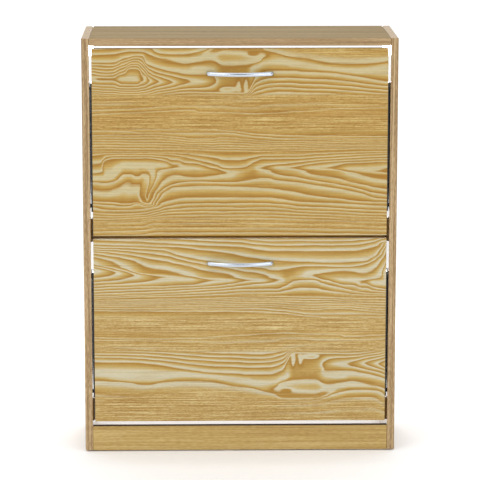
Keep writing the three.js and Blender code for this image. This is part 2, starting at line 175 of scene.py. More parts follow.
def new_material(name, **settings):
    """A plain Principled material: (material, graph, shader). Settings go on the shader."""
    made = bpy.data.materials.new(name)
    made.use_nodes = True
    shader = made.node_tree.nodes["Principled BSDF"]
    for key, value in settings.items():
        shader.inputs[key.replace("_", " ")].default_value = value
    return made, Graph(made.node_tree), shader


def object_millimetres(graph):
    place = graph.node("ShaderNodeTexCoord").outputs["Object"]
    return graph.vector("MULTIPLY", place, (1000, 1000, 1000))


# ---- The door print ----
# Its field counts growth rings over a sheet, u mm to the right and v mm down from the upper
# door's top left corner. A ring goes from pale early wood to brown late wood, and ends sharply.

# Lines across the sheet, from its top to its foot, as (ease, rings, (u, v) points). rings is the
# field's level on the line, or its (u, level) points. An ease above 1 starts slowly from the
# line above, and one below -1 ends slowly.
GUIDES = [
    (1, 11.6, [
        (0, -60), (740, -60)
    ]),
    (1, 9, [
        (0, -16), (110, -18), (150, -3), (190, -4), (230, -12), (300, -18), (420, -14), (520, -10),
        (600, -10), (700, -8)
    ]),
    (1, 8, [
        (0, 2), (50, 0), (80, -5), (110, -4), (125, 6), (145, 11), (170, 12), (190, 11), (205, 8),
        (225, 3), (245, -5), (300, -12), (360, -10), (450, -7), (520, -4), (600, -2), (740, 6)
    ]),
    (1, 7, [
        (0, 13), (40, 11.5), (60, 8.5), (80, 6), (100, 6.5), (110, 9.5), (118, 13.5), (140, 19),
        (160, 20.5), (185, 20.5), (200, 19), (215, 15.5), (225, 9), (245, 0), (265, -5), (320, -5),
        (345, 3), (355, 6), (370, 9.5), (390, 14.5), (400, 17), (430, 21), (450, 25.5), (480, 29.5),
        (520, 31.5), (560, 30), (580, 28), (608, 24), (640, 29), (700, 33)
    ]),
    # The crest over the eye
    (1, [
        (0, 6), (235, 6), (262, 6.8), (335, 6.85), (350, 6.7), (362, 6.4), (400, 6.3), (480, 6.35),
        (740, 6.4)
    ], [
        (0, 27.5), (38, 28), (50, 26), (60, 20.5), (75, 17), (90, 14.5), (100, 15), (104, 19),
        (107, 26), (112, 31), (120, 34.5), (130, 38.5), (150, 44), (170, 48.5), (200, 52.5),
        (235, 52), (262, 40), (290, 36), (310, 33.5), (320, 31), (335, 26), (350, 15), (362, 15),
        (375, 17), (390, 21), (400, 24), (440, 31), (480, 37), (520, 39.5), (560, 36), (600, 31),
        (700, 40)
    ]),
    # The edge of the eye
    (1, [
        (0, 2), (40, 1.9), (56, 1.05), (104, 1.05), (112, 2.3), (150, 4.3), (200, 5.2), (240, 5.7),
        (262, 6.75), (310, 6.75), (325, 6.45), (345, 6.35), (362, 6.25), (500, 6.2), (740, 6.2)
    ], [
        (0, 50), (40, 54), (58, 52), (70, 47), (80, 40), (88, 40), (97, 47), (105, 56), (116, 58),
        (150, 59), (200, 61), (235, 60), (262, 47), (290, 41), (310, 37.5), (320, 33.5), (335, 28.5),
        (350, 20), (370, 20.5), (400, 28), (440, 34), (500, 42), (590, 41), (740, 45)
    ]),
    # The heart line of the eye
    (-1.6, [
        (0, 1.15), (8, 1.02), (20, 0.9), (42, 0.88), (52, 0.4), (62, 0.15), (90, 0.2), (98, 0.8),
        (103, 1), (115, 2), (132, 3), (160, 4), (195, 5), (225, 5.3), (245, 5.9), (262, 6.6),
        (300, 6.7), (312, 6.5), (320, 6.15), (400, 6.12), (740, 6.15)
    ], [
        (0, 60), (60, 61), (90, 62), (110, 64), (160, 67), (200, 67), (230, 66), (262, 60), (300, 50),
        (312, 42), (320, 38), (335, 33), (350, 27), (370, 26), (400, 32), (450, 39), (500, 45),
        (590, 47), (700, 50)
    ]),
    (1.5, 7, [
        (0, 95), (60, 97), (100, 97), (130, 93), (160, 88.5), (200, 85.5), (235, 86), (262, 87),
        (290, 88), (303, 88), (311, 84), (316, 76), (320, 66), (324, 57), (331, 51), (345, 46),
        (360, 44), (400, 44), (420, 46), (460, 47.5), (490, 50), (520, 54), (550, 59.5), (590, 66),
        (640, 70), (700, 71)
    ]),
    (1.3, 11, [
        (0, 110), (200, 104), (262, 103), (300, 101), (320, 96), (340, 90.5), (360, 87), (385, 86),
        (410, 87), (460, 89), (520, 92.5), (590, 96), (740, 100)
    ]),
    (1, 12, [
        (0, 122), (100, 118), (200, 113), (240, 113), (300, 117), (320, 117), (340, 113),
        (370, 110.5), (400, 110), (440, 109), (500, 112), (590, 114), (740, 116)
    ]),
    (1, 13, [
        (0, 131), (50, 128), (100, 126), (150, 124), (200, 122), (215, 127), (240, 127), (290, 128),
        (320, 129), (400, 125.5), (440, 124), (500, 119), (590, 118), (740, 122)
    ]),
    (1, 14, [
        (0, 136), (40, 134), (100, 131), (150, 129), (200, 128), (215, 131), (240, 132), (290, 133),
        (320, 135), (350, 133), (400, 131), (440, 128), (480, 126), (500, 125), (590, 124), (740, 128)
    ]),
    (3, 15, [
        (0, 157), (160, 160), (220, 160), (260, 163), (300, 167), (340, 171), (400, 174), (590, 176),
        (740, 178)
    ]),
    (1, 16, [
        (0, 163), (60, 164), (120, 168), (200, 168), (260, 168.5), (300, 172.5), (340, 177),
        (400, 180), (500, 180.5), (590, 181), (740, 182)
    ]),
    (1, 17, [
        (0, 172), (120, 173), (180, 177), (200, 180), (240, 180), (260, 178), (300, 180),
        (340, 183.5), (400, 186), (440, 185), (500, 185), (590, 186), (740, 187)
    ]),
    # The ridge between the figures
    (1, 23, [
        (0, 203), (200, 206), (300, 209), (400, 208), (500, 205), (590, 204), (740, 200)
    ]),
    (1, 21, [
        (0, 214), (60, 210), (150, 213), (180, 217), (200, 221.5), (230, 228), (250, 234), (280, 241),
        (300, 239), (315, 233), (330, 226), (345, 222), (400, 222), (450, 219), (500, 216),
        (590, 212), (740, 207)
    ]),
    # The arch over the lower figure
    (1, [
        (0, 19), (168, 19), (178, 19.4), (200, 20), (240, 20), (258, 20.3), (280, 20.55),
        (312, 20.65), (330, 20.4), (345, 20.2), (400, 19.6), (440, 19), (500, 18.4), (590, 17.8),
        (740, 17.6)
    ], [
        (0, 250), (15, 248), (20, 238), (24, 227), (32, 222.5), (48, 220.5), (100, 220.5),
        (130, 222.5), (150, 227), (165, 233), (178, 232), (200, 230.5), (220, 234), (245, 241),
        (280, 244), (300, 243), (328, 234), (345, 234), (400, 234), (440, 232), (500, 230),
        (590, 230), (740, 226)
    ]),
    # The heart line of the lower figure
    (-1.6, [
        (0, 18.1), (140, 18.15), (158, 18.75), (168, 19), (200, 19.15), (250, 19.75), (262, 20),
        (290, 20.3), (312, 20.5), (330, 20.1), (345, 19.9), (375, 19.1), (402, 18.95), (440, 18.1),
        (478, 17.95), (515, 17.2), (555, 17.05), (575, 16.95), (600, 16.5), (622, 16), (660, 15),
        (700, 14.1), (740, 13.6)
    ], [
        (0, 261), (20, 260), (34, 257), (45, 246), (55, 238), (70, 233), (140, 235), (168, 237),
        (220, 243), (262, 249), (300, 247), (328, 240), (400, 240), (500, 242), (555, 247),
        (590, 248), (650, 256), (740, 264)
    ]),
    (1.6, [
        (0, 19), (168, 19.05), (200, 19.25), (250, 19.85), (262, 20.05), (290, 20.4), (312, 20.6),
        (330, 20.2), (345, 20), (375, 19.3), (402, 19.1), (440, 18.4), (478, 18.2), (515, 17.6),
        (555, 17.4), (575, 17.2), (600, 16.75), (622, 16.25), (660, 15.25), (700, 14.35), (740, 13.9)
    ], [
        (0, 268), (20, 269.5), (36, 267), (45, 262), (52, 255), (60, 251.5), (72, 252), (82, 256),
        (90, 253), (97, 251), (106, 253), (110, 275), (114, 303), (118, 290), (121, 265), (125, 248),
        (135, 243.5), (160, 240), (168, 239), (220, 245.5), (262, 251.5), (300, 249.5), (328, 243),
        (400, 243), (500, 245), (555, 250), (590, 251), (650, 259), (740, 268)
    ]),
    (1, [
        (0, 20), (262, 20.1), (290, 20.5), (312, 20.75), (330, 20.4), (345, 20.2), (375, 19.6),
        (402, 19.4), (440, 18.8), (478, 18.6), (515, 18.1), (555, 17.9), (590, 17.8),
        (622, 17.4), (660, 16.9), (740, 15.6)
    ], [
        (0, 280), (12, 283), (28, 285), (45, 281), (54, 277), (60, 271), (66, 268), (72, 270),
        (77, 273), (90, 273), (96, 285), (102, 302), (114, 310), (124, 303), (130, 283), (138, 264),
        (150, 256), (160, 254), (180, 257.5), (200, 259), (230, 257), (255, 253.5), (270, 253),
        (300, 252), (328, 246), (400, 246), (500, 249), (555, 254), (590, 255), (650, 267),
        (740, 278)
    ]),
    (1.8, 21, [
        (0, 305.5), (30, 307.5), (50, 309), (62, 311), (75, 311), (90, 309), (102, 312), (114, 315),
        (126, 309), (136, 292), (150, 277), (168, 270), (200, 267), (240, 268), (270, 268),
        (300, 265.5), (320, 262), (340, 260), (360, 264), (400, 268), (440, 274), (500, 283),
        (540, 291), (590, 303), (740, 310)
    ]),
    (1, 22, [
        (0, 311.5), (40, 315), (60, 317), (75, 316), (88, 312), (100, 316), (114, 318), (128, 313),
        (142, 297), (155, 283), (168, 278), (200, 276), (240, 275.5), (280, 277), (340, 280),
        (380, 284), (400, 287), (440, 295), (500, 303), (540, 308), (590, 310), (740, 315)
    ]),
    (1, 23, [
        (0, 319), (60, 324), (100, 322), (125, 318), (145, 309), (170, 303), (200, 299.5), (260, 299),
        (340, 299), (380, 302), (420, 308), (500, 312), (590, 318), (740, 325)
    ]),
    (1.3, 28, [
        (0, 352), (100, 348), (140, 341), (200, 341), (300, 341), (400, 343), (500, 347), (590, 350),
        (740, 355)
    ]),
    (1, 34, [
        (0, 400), (740, 400)
    ]),
]

# Humps and hollows of the ring field: (u, v, left, right, up, down, rings)
FIGURE = [
    (263, 18, 46, 82, 9, 14, 0.64),
    (320, 13, 12, 12, 5, 4, -0.3),
    (213, 38, 16, 16, 6, 6, -0.3),
    (269, 81, 16, 18, 5, 4, 0.5),
    (293, 72, 6, 4, 13, 10, 0.32),
    (306, 71, 4, 5, 16, 13, 0.38),
    (180, 28, 35, 45, 8, 8, 0.3),
]

# A hollow in the clarity, in the same form: rings fade to plain fibre by the sheet's top edge
PLAIN_PATCH = (480, 0, 90, 220, 60, 17, -1.2)

# How far the steep lines of the lower figure lean to the right, as (v, mm)
LEAN = [(240, 0), (250, 5), (258, 6), (270, 3), (280, -1), (292, -5), (303, -6), (315, 0)]

# How clearly the rings show down the sheet, as (v, share); the rest is plain fibre
CLARITY = [
    (-50, 0.15), (-20, 0.2), (-5, 0.5), (4, 1), (85, 1), (92, 0.7), (98, 0.1), (108, 0.2),
    (118, 0.4), (128, 0.55), (136, 0.4), (142, -0.1), (157, -0.1), (165, 0.6), (185, 0.65),
    (206, 0.65), (214, 0.9), (222, 1), (300, 1), (320, 0.9), (342, 0.65), (352, 0.4), (360, 0.4),
    (366, 0.7), (380, 0.7),
]

# Colours of one ring, from its pale start to its dark end
RING_COLOURS = [
    (0.0, (170, 132, 62)), (0.06, (193, 181, 142)), (0.24, (194, 184, 150)),
    (0.44, (186, 160, 98)), (0.66, (175, 141, 68)), (0.88, (158, 116, 41)), (1.0, (163, 122, 47)),
]
# Colours of the fibre where the rings fade out, from dark to pale
FIBRE_COLOURS = [(0.3, (157, 116, 48)), (0.5, (177, 145, 80)), (0.7, (197, 177, 122))]
# Guide lines are kept at least this far apart, in mm
LEAST_GAP = 0.5
# The lower door is cut from the same print, turned half round about this (u, v) sum
TURNED_SHEET = (709.8, 325.4, 0)
# Irregularities of the print, each as (size in mm, reach). The drifts of the rings reach in mm.
DRIFT_ACROSS = ((60, 18, 1), 7)
DRIFT_BROAD = ((50, 12, 1), 2.6)
DRIFT_FINE = ((18, 6, 1), 1.3)
CLARITY_PATCHES = ((110, 14, 1), 1.2)
LONG_FIBRE = ((140, 2.0, 1), 0.85)
SHORT_FIBRE = ((14, 2, 1), 0.35)
FLECKS = ((5, 2.2, 1), 0.28)
FIBRE_SHADE = 0.5       # how much the fibre darkens and lightens the wood
# Painted sheen: the lower door is tinted paler and bluer and the upper warmer, for the white floor's
# light that the lower door's foil reflects more
DOOR_SHEEN_TINT = {"upper": (0.975, 0.93, 0.82), "lower": (1.035, 1.06, 1.16)}


def soft_hump(graph, place, u, v, left, right, up, down, height):
    """A smooth hump at (u, v), with its own reach to each side. A negative height sinks it."""
    local = graph.vector("SUBTRACT", place, (u, v, 0))
    ahead = graph.vector("MULTIPLY", local, (1 / right, 1 / down, 0))
    behind = graph.vector("MULTIPLY", local, (-1 / left, -1 / up, 0))
    reach = graph.vector("MAXIMUM", ahead, behind)
    fall = graph.math("MULTIPLY", graph.vector("DOT_PRODUCT", reach, reach), -1)
    return graph.math("MULTIPLY", graph.math("EXPONENT", fall), height)


def ring_field(graph, place):
    """The ring count at a (u, v) place on the sheet."""
    split = graph.node("ShaderNodeSeparateXYZ", {0: place}).outputs
    v = split["Y"]
    u = graph.math("SUBTRACT", split["X"], graph.curve(v, LEAN))
    _, level_above, points = GUIDES[0]
    line_above = points[0][1]
    rings = level_above
    for ease, level, points in GUIDES[1:]:
        line = graph.math("MAXIMUM", graph.curve(u, points), graph.math("ADD", line_above, LEAST_GAP))
        if isinstance(level, list):
            level = graph.curve(u, level)
        share = graph.span(v, line_above, line)
        if ease < 0:
            rest = graph.math("SUBTRACT", 1, share)
            share = graph.math("SUBTRACT", 1, graph.math("POWER", rest, -ease))
        elif ease != 1:
            share = graph.math("POWER", share, ease)
        step = graph.math("MULTIPLY", graph.math("SUBTRACT", level, level_above), share)
        rings = graph.math("ADD", rings, step)
        line_above, level_above = line, level
    for hump in FIGURE:
        rings = graph.math("ADD", rings, soft_hump(graph, place, *hump))
    return rings


def ring_print():
    """The node group that paints the figured print at a (u, v) place."""
    group = bpy.data.node_groups.new("ring_print", "ShaderNodeTree")
    face = group.interface
    face.new_socket("Place", in_out="INPUT", socket_type="NodeSocketVector")
    face.new_socket("Color", in_out="OUTPUT", socket_type="NodeSocketColor")
    face.new_socket("Grain", in_out="OUTPUT", socket_type="NodeSocketFloat")
    graph = Graph(group)
    sheet = graph.node("NodeGroupInput").outputs["Place"]
    # The rings waver a little
    across = graph.sway(sheet, *DRIFT_ACROSS)
    broad = graph.sway(sheet, *DRIFT_BROAD)
    fine = graph.sway(sheet, *DRIFT_FINE)
    drift = {"X": across, "Y": graph.math("ADD", broad, fine)}
    drifted = graph.node("ShaderNodeCombineXYZ", drift).outputs[0]
    rings = ring_field(graph, graph.vector("ADD", sheet, drifted))
    ringed = graph.ramp(graph.math("FRACT", rings), RING_COLOURS)
    # Their clarity changes down the sheet, and in patches
    down = graph.node("ShaderNodeSeparateXYZ", {0: sheet}).outputs["Y"]
    patches = graph.sway(sheet, *CLARITY_PATCHES)
    faded = graph.math("ADD", graph.curve(down, CLARITY), soft_hump(graph, sheet, *PLAIN_PATCH))
    clarity = graph.span(graph.math("ADD", faded, patches), 0, 1)
    # Fibre runs over everything, as long and short streaks and flecks
    long = graph.sway(sheet, *LONG_FIBRE)
    short = graph.sway(sheet, *SHORT_FIBRE)
    flecks = graph.sway(sheet, *FLECKS)
    fibre = graph.math("ADD", graph.math("ADD", long, short), flecks)
    plain = graph.ramp(graph.math("ADD", fibre, 0.5), FIBRE_COLOURS)
    wood = graph.mix(clarity, plain, ringed)
    shaded = graph.node("ShaderNodeVectorMath", {0: wood}, operation="SCALE")
    shade = graph.math("ADD", graph.math("MULTIPLY", fibre, FIBRE_SHADE), 1)
    graph.feed(shaded.inputs["Scale"], shade)
    graph.node("NodeGroupOutput", {"Color": shaded.outputs[0], "Grain": fibre})
    return group


def door_foil(tier, group):
    """The figured foil on one door's face."""
    low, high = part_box(f"{tier}_door")
    made, graph, shader = new_material(f"{tier}_door_foil", Roughness=0.42, Specular_IOR_Level=0.35)
    place = object_millimetres(graph)
    split = graph.node("ShaderNodeSeparateXYZ", {0: place}).outputs
    u = graph.math("SUBTRACT", split["X"], low.x / MM)
    v = graph.math("SUBTRACT", high.z / MM, split["Z"])
    sheet = graph.node("ShaderNodeCombineXYZ", {"X": u, "Y": v}).outputs[0]
    if tier == "lower":
        sheet = graph.vector("SUBTRACT", TURNED_SHEET, sheet)
    printed = graph.node("ShaderNodeGroup", {}, node_tree=group)
    graph.feed(printed.inputs["Place"], sheet)
    # Painted sheen: the print tinted paler and bluer on the lower door, warmer on the upper
    sheen_tinted = graph.vector("MULTIPLY", printed.outputs["Color"], DOOR_SHEEN_TINT[tier])
    graph.feed(shader.inputs["Base Color"], sheen_tinted)
    graph.feed(shader.inputs["Normal"], graph.bump(printed.outputs["Grain"], 0.15 * MM))
    return made


# ---- Other materials ----


def plain_foil(name, along, dark, middle, light, rough=0.42, spread=0.14, band=(600, 8), **settings):
    """Straight-grained printed foil, its fibres running along axis 0, 1 or 2.

    A smaller spread gives the same three colours with firmer stripes between them. band is the
    length and width of the broadest stripes, in mm.
    """
    made, graph, shader = new_material(name, Roughness=rough, **settings)
    place = object_millimetres(graph)

    def streaks(long, wide, detail=2.0):
        size = [wide] * 3
        size[along] = long
        return graph.noise(graph.vector("DIVIDE", place, size), 1.0, detail)

    # Broad bands, narrower lines and short fibres, weighted to a sum of 1
    bands = graph.math("MULTIPLY", streaks(*band), 0.34)
    lines = graph.math("MULTIPLY", streaks(200, 2.2, 3.0), 0.36)
    fibres = graph.math("MULTIPLY", streaks(11, 1.6), 0.3)
    figure = graph.math("ADD", graph.math("ADD", bands, lines), fibres)
    colour = graph.ramp(figure, [(0.5 - spread, dark), (0.5, middle), (0.5 + spread, light)])
    graph.feed(shader.inputs["Base Color"], colour)
    graph.feed(shader.inputs["Normal"], graph.bump(streaks(9, 0.5), 0.06 * MM))
    return made


def chipboard():
    """Raw pressed wood chips, on the edges that carry no foil."""
    made, graph, shader = new_material("raw_chipboard", Roughness=0.85, Specular_IOR_Level=0.2)
    place = object_millimetres(graph)
    # Chips of about 2 mm
    cells = graph.node("ShaderNodeTexVoronoi", {"Vector": place, "Scale": 0.45})
    chip = graph.node("ShaderNodeSeparateColor", {0: cells.outputs["Color"]}).outputs[0]
    stops = [(0.0, (133, 99, 62)), (0.5, (186, 150, 104)), (1.0, (214, 186, 143))]
    colour = graph.ramp(chip, stops)
    graph.feed(shader.inputs["Base Color"], colour)
    graph.feed(shader.inputs["Normal"], graph.bump(cells.outputs["Distance"], 0.4 * MM, 0.6))
    return made


def hardboard():
    """Brown pressed fibre, one thin board in a bucket."""
    made, graph, shader = new_material("hardboard", Roughness=0.7, Specular_IOR_Level=0.25)
    place = object_millimetres(graph)
    tone = graph.noise(place, 0.05, 3.0)
    fibre = graph.noise(graph.vector("DIVIDE", place, (3, 1, 1)), 0.9, 4.0, 0.7)
    both = graph.math("ADD", graph.math("MULTIPLY", tone, 0.4), graph.math("MULTIPLY", fibre, 0.6))
    stops = [(0.35, (124, 88, 50)), (0.5, (154, 114, 68)), (0.66, (181, 141, 92))]
    graph.feed(shader.inputs["Base Color"], graph.ramp(both, stops))
    graph.feed(shader.inputs["Normal"], graph.bump(fibre, 0.2 * MM, 0.5))
    return made


def plastic(name, colour, spread, rough, texture):
    """Moulded plastic with a fine spark-eroded texture."""
    made, graph, shader = new_material(name)
    place = object_millimetres(graph)
    cloud = graph.noise(place, 0.04, 2.0)
    dark = [value - spread for value in colour]
    pale = [value + spread for value in colour]
    graph.feed(shader.inputs["Base Color"], graph.ramp(cloud, [(0.3, dark), (0.7, pale)]))
    graph.feed(shader.inputs["Roughness"], graph.span(cloud, 0.3, 0.7, rough - 0.05, rough + 0.05))
    graph.feed(shader.inputs["Normal"], graph.bump(graph.noise(place, 2.5, 2.0), texture * MM))
    return made


def satin_metal():
    """Satin nickel, brushed along the bar."""
    made, graph, shader = new_material("satin_nickel", Metallic=1.0, Anisotropic=0.5)
    place = object_millimetres(graph)
    brush = graph.noise(graph.vector("DIVIDE", place, (18, 0.5, 0.35)), 1.0, 3.0)
    stops = [(0.3, (186, 194, 205)), (0.7, (214, 221, 230))]
    graph.feed(shader.inputs["Base Color"], graph.ramp(brush, stops))
    graph.feed(shader.inputs["Roughness"], graph.span(brush, 0.3, 0.7, 0.16, 0.26))
    graph.feed(shader.inputs["Normal"], graph.bump(brush, 0.02 * MM))
    return made


def zinc():
    """Bright zinc plating with a faint yellow and blue bloom."""
    made, graph, shader = new_material("zinc_plating", Metallic=1.0)
    place = object_millimetres(graph)
    bloom = graph.noise(place, 0.25, 3.0)
    stops = [(0.3, (170, 176, 186)), (0.5, (186, 187, 186)), (0.7, (196, 190, 174))]
    graph.feed(shader.inputs["Base Color"], graph.ramp(bloom, stops))
    graph.feed(shader.inputs["Roughness"], graph.span(bloom, 0.3, 0.7, 0.28, 0.45))
    graph.feed(shader.inputs["Normal"], graph.bump(graph.noise(place, 3.0, 2.0), 0.03 * MM))
    return made


OAK = {"dark": (138, 109, 69), "middle": (165, 136, 94), "light": (190, 163, 122)}
# Painted shade: the carcass foil's colours darkened for the top's upper face
OAK_SHADED_TOP = {"dark": (114, 91, 53), "middle": (140, 118, 75), "light": (166, 145, 101)}
ASH = {"dark": (156, 121, 58), "middle": (180, 149, 83), "light": (199, 174, 113)}
# Painted shadow: dark brown for the plinth's upper edge, where the lower door shades it
PLINTH_SHADOW_BROWN = {"dark": (62, 47, 30), "middle": (78, 60, 40), "light": (94, 74, 50)}
DOOR_PRINT = ring_print()
GLOSS = {"Coat_Weight": 1.0, "Coat_Roughness": 0.03}
MATERIALS = {
    "upper_door": door_foil("upper", DOOR_PRINT),
    "lower_door": door_foil("lower", DOOR_PRINT),
    "oak_x": plain_foil("carcass_foil_along_x", 0, **OAK),
    "oak_z": plain_foil("carcass_foil_along_z", 2, spread=0.07, band=(1200, 4.5), **OAK),
    "inner_z": plain_foil("carcass_foil_inside", 2, **OAK, **GLOSS),
    # The top's upper face: the carcass foil darkened as painted shade
    "oak_painted_shade_top": plain_foil("carcass_foil_shaded_top", 0, rough=0.6, **OAK_SHADED_TOP, Specular_IOR_Level=0.15),
    "ash_x": plain_foil("door_foil_plain", 0, **ASH),
    # Painted shadow on the plinth's upper edge
    "painted_shadow_edge": plain_foil("painted_shadow_edge", 0, rough=0.8, **PLINTH_SHADOW_BROWN, Specular_IOR_Level=0.1),
    "chipboard": chipboard(),
    "thin_board": hardboard(),
    "black_plastic": plastic("black_moulding", (24, 21, 16), 2, 0.12, 0.005),
    "white_plastic": plastic("white_nylon", (232, 230, 222), 5, 0.45, 0.03),
    "satin_metal": satin_metal(),
    "zinc_plate": zinc(),
}


# ---- Meshes ----


def finish_piece(name, mesh, node, materials, place=None):
    """Shows a mesh in place of a CAD node, on that node's body."""
    if not mesh.materials:
        for key in materials:
            mesh.materials.append(MATERIALS[key])
    piece = bpy.data.objects.new(name, mesh)
    bpy.context.scene.collection.objects.link(piece)
    if place is not None:
        piece.matrix_world = place
    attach(piece, BODY_OF[node])
    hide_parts(node)
    return piece


FLAT = math.radians(0.5)        # faces closer than this in angle are made one
SHARP = math.radians(28)        # edges sharper than this are rounded
WELD = 0.001 * MM               # points closer than this are made one


def rounded_copy(node, radius, materials=None, choose=None):
    """A copy of a CAD solid with its sharp edges rounded; choose(normal) picks a material."""
    shape = bmesh.new()
    shape.from_mesh(NODES[node].data)
    bmesh.ops.remove_doubles(shape, verts=shape.verts, dist=WELD)
    bmesh.ops.dissolve_limit(shape, angle_limit=FLAT, verts=shape.verts, edges=shape.edges)
    sharp = [e for e in shape.edges if len(e.link_faces) == 2 and e.calc_face_angle(0) > SHARP]
    bmesh.ops.bevel(
        shape, geom=sharp, offset=radius, segments=2, profile=0.5,
        affect="EDGES", clamp_overlap=True,
    )
    bmesh.ops.remove_doubles(shape, verts=shape.verts, dist=WELD)
    for face in shape.faces:
        face.smooth = True
        if choose:
            face.material_index = choose(face.normal)
    mesh = bpy.data.meshes.new(node)
    shape.to_mesh(mesh)
    shape.free()
    piece = finish_piece(f"{node}_finished", mesh, node, materials or [SLOT_OF[node]])
    weighted = piece.modifiers.new("flat_faces", "WEIGHTED_NORMAL")
    weighted.keep_sharp = True
    return piece


# Boards

# Radii of the rounded edges
BOARD_EDGE = 0.3 * MM
THIN_EDGE = 0.2 * MM
MOULDED_EDGE = 0.35 * MM
PLATE_EDGE = 0.3 * MM


def side_panel(name, sign):
    """A side, glossier inside, with bare chipboard on its rear and lower edges."""
    def choose(normal):
        if normal.x * sign < -FACING:
            return 1
        return 2 if normal.y > FACING or normal.z < -FACING else 0

    rounded_copy(f"{name}_side_panel", BOARD_EDGE, ["oak_z", "inner_z", "chipboard"], choose)


def top_panel():
    """The top, its upper face in a rougher copy of the carcass foil darkened as painted shade, and
    bare chipboard on its rear edge.
    """
    def choose(normal):
        if normal.z > FACING:
            return 1
        return 2 if normal.y > FACING else 0

    rounded_copy("top_panel", BOARD_EDGE, ["oak_x", "oak_painted_shade_top", "chipboard"], choose)


def cross_board(node, upper_edge):
    """The plinth or a rail, with the given finish on the upper edge and bare chipboard on the lower.
    """
    def choose(normal):
        if normal.z > FACING:
            return 1
        return 2 if normal.z < -FACING else 0

    rounded_copy(node, BOARD_EDGE, ["ash_x", upper_edge, "chipboard"], choose)


def door(tier):
    """A door, with the figured print on its face and over the front half of its rounded edges."""
    def choose(normal):
        return 0 if normal.y < -0.5 else 1

    node = f"{tier}_door"
    rounded_copy(node, BOARD_EDGE, [node, "ash_x"], choose)


for name, sign in SIDES.items():
    side_panel(name, sign)
    rounded_copy(f"wall_bracket_{name}", PLATE_EDGE)
top_panel()
# The plinth's upper edge is dark brown as a painted shadow under the lower door
cross_board("plinth", "painted_shadow_edge")
cross_board("lower_rail", "ash_x")
cross_board("middle_rail", "ash_x")
for tier in TIERS:
    door(tier)
    for part in ("bottom_board", "divider", "back_board"):
        rounded_copy(f"{tier}_{part}", THIN_EDGE)
    for side in SIDES:
        rounded_copy(f"{tier}_bracket_{side}", MOULDED_EDGE)


# Bow handles

HANDLE_CENTRES = 128 * MM
BAR_TALL = 8.7 * MM
BAR_THICK = 6 * MM
BAR_SQUARENESS = 0.85
BAR_STEPS = 9
BAR_SIDES = 28


def spline(points, steps):
    """Points along a smooth curve through the given ones, with knots spaced by chord roots."""
    ends = [2 * points[0] - points[1], 2 * points[-1] - points[-2]]
    knots = [ends[0], *points, ends[1]]
    made = []
    for index in range(len(points) - 1):
        p0, p1, p2, p3 = knots[index:index + 4]
        t0 = 0.0
        t1 = t0 + math.sqrt((p1 - p0).length)
        t2 = t1 + math.sqrt((p2 - p1).length)
        t3 = t2 + math.sqrt((p3 - p2).length)
        for step in range(steps):
            t = t1 + (t2 - t1) * step / steps
            a1 = p0.lerp(p1, (t - t0) / (t1 - t0))
            a2 = p1.lerp(p2, (t - t1) / (t2 - t1))
            a3 = p2.lerp(p3, (t - t2) / (t3 - t2))
            b1 = a1.lerp(a2, (t - t0) / (t2 - t0))
            b2 = a2.lerp(a3, (t - t1) / (t3 - t1))
            made.append(b1.lerp(b2, (t - t1) / (t2 - t1)))
    made.append(points[-1].copy())
    return made


def power(value, exponent):
    """A signed power, which squares up an ellipse."""
    return math.copysign(abs(value) ** exponent, value)


def bow_handle(tier):
    """A bow handle, its rounded bar swept along a curve from foot to foot."""
    node = f"{tier}_handle"
    low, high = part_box(node)
    foot = high.y
    peak = foot - low.y - BAR_THICK / 2
    end = HANDLE_CENTRES / 2
    # One half of the bow's middle line, as (distance from its middle, distance from the door)
    half = [
        (end, 0.0), (end, 0.12 * peak), (0.965 * end, 0.25 * peak), (0.84 * end, 0.42 * peak),
        (0.58 * end, 0.72 * peak), (0.28 * end, 0.93 * peak),
    ]
    bow = [(-x, y) for x, y in half] + [(0.0, peak)] + half[::-1]
    middle = (low.z + high.z) / 2
    path = spline([Vector((x, foot - y, middle)) for x, y in bow], BAR_STEPS)
    shape = bmesh.new()
    rings = []
    for index, point in enumerate(path):
        ahead = path[min(index + 1, len(path) - 1)] - path[max(index - 1, 0)]
        ahead.normalize()
        if index in (0, len(path) - 1):
            ahead = Vector((0, -1 if index == 0 else 1, 0))
        across = ahead.cross(Vector((0, 0, 1))).normalized()
        ring = []
        for side in range(BAR_SIDES):
            angle = 2 * math.pi * side / BAR_SIDES
            out = BAR_THICK / 2 * power(math.cos(angle), BAR_SQUARENESS)
            up = BAR_TALL / 2 * power(math.sin(angle), BAR_SQUARENESS)
            ring.append(shape.verts.new(point + across * out + Vector((0, 0, up))))
        rings.append(ring)
    for first, second in zip(rings, rings[1:]):
        for side in range(BAR_SIDES):
            after = (side + 1) % BAR_SIDES
            shape.faces.new((first[side], first[after], second[after], second[side]))
    shape.faces.new(rings[0][::-1])
    shape.faces.new(rings[-1])
    bmesh.ops.recalc_face_normals(shape, faces=shape.faces)
    for face in shape.faces:
        face.smooth = len(face.verts) == 4
    mesh = bpy.data.meshes.new(node)
    shape.to_mesh(mesh)
    shape.free()
    finish_piece(f"{node}_finished", mesh, node, ["satin_metal"])


for tier in TIERS:
    bow_handle(tier)


# Turned fasteners: each profile is (radius, height) in mm, from its foot up to its face

TURNED_SIDES = 40
RECESS_TAPER = 0.7      # width of a cross recess at its bottom, as a share of that at the face
CUT_CLEAR = 0.2 * MM    # how far its cutter stands out of the face
# A screw's thread, with lengths in mm as in the profiles
THREAD_PITCH = 1.2
THREAD_ROOT = 0.78      # radius in the grooves, as a share of the shank's
SCREW_POINT = 2         # length of the tapered point
SCREW_NECK = 2          # least length without thread under the head


